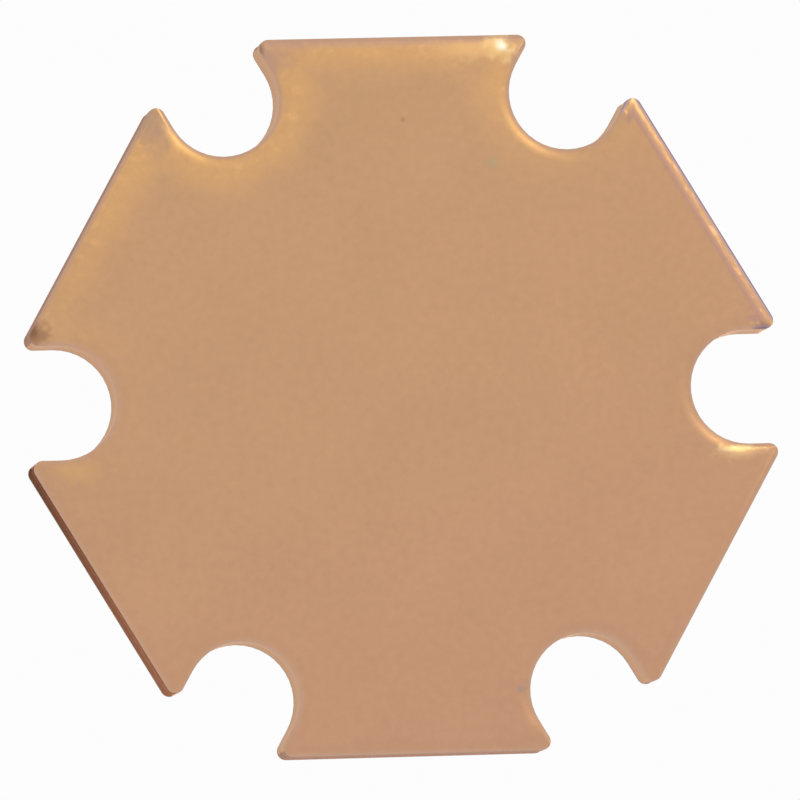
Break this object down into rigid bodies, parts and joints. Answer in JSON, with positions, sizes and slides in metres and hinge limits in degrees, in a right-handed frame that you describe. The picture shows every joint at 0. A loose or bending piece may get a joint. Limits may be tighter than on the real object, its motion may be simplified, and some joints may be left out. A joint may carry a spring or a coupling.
{
  "type": "star board power led",
  "caption": "Star-shaped copper-core circuit board with notches for screws, carrying a domed ceramic power LED; its bare copper back sits on a heat sink.",
  "frame": {"origin": "centre of the bare copper back face, which lies on z = 0", "axes": "+Z the way the light leaves, +X from corner to corner of the hexagon towards the cathode side"},
  "size_m": [0.0208, 0.02, 0.0048],
  "materials": {
    "copper": "bare rolled copper, punched edge",
    "dielectric": "filled epoxy",
    "mask": "white solder mask",
    "solder": "bright tin solder",
    "gold": "gold plate",
    "ceramic": "white fired ceramic",
    "chip": "polished semiconductor",
    "phosphor": "yellow phosphor",
    "diode": "bare semiconductor chip",
    "silicone": "clear moulded silicone"
  },
  "bodies": {
    "root": {"copper_base": "copper", "dielectric_layer": "dielectric", "anode_track": "copper", "cathode_track": "copper", "solder_mask": "mask", "pad_tinning": "solder", "anode_solder": "solder", "thermal_solder": "solder", "cathode_solder": "solder", "anode_contact": "gold", "thermal_contact": "gold", "cathode_contact": "gold", "ceramic_substrate": "ceramic", "anode_vias": "copper", "cathode_vias": "copper", "die_land": "gold", "bond_land": "gold", "die_attach": "solder", "led_die": "chip", "phosphor_plate": "phosphor", "esd_diode": "diode", "bond_wires": "gold", "dome_lens": "silicone"}
  },
  "joints": []
}
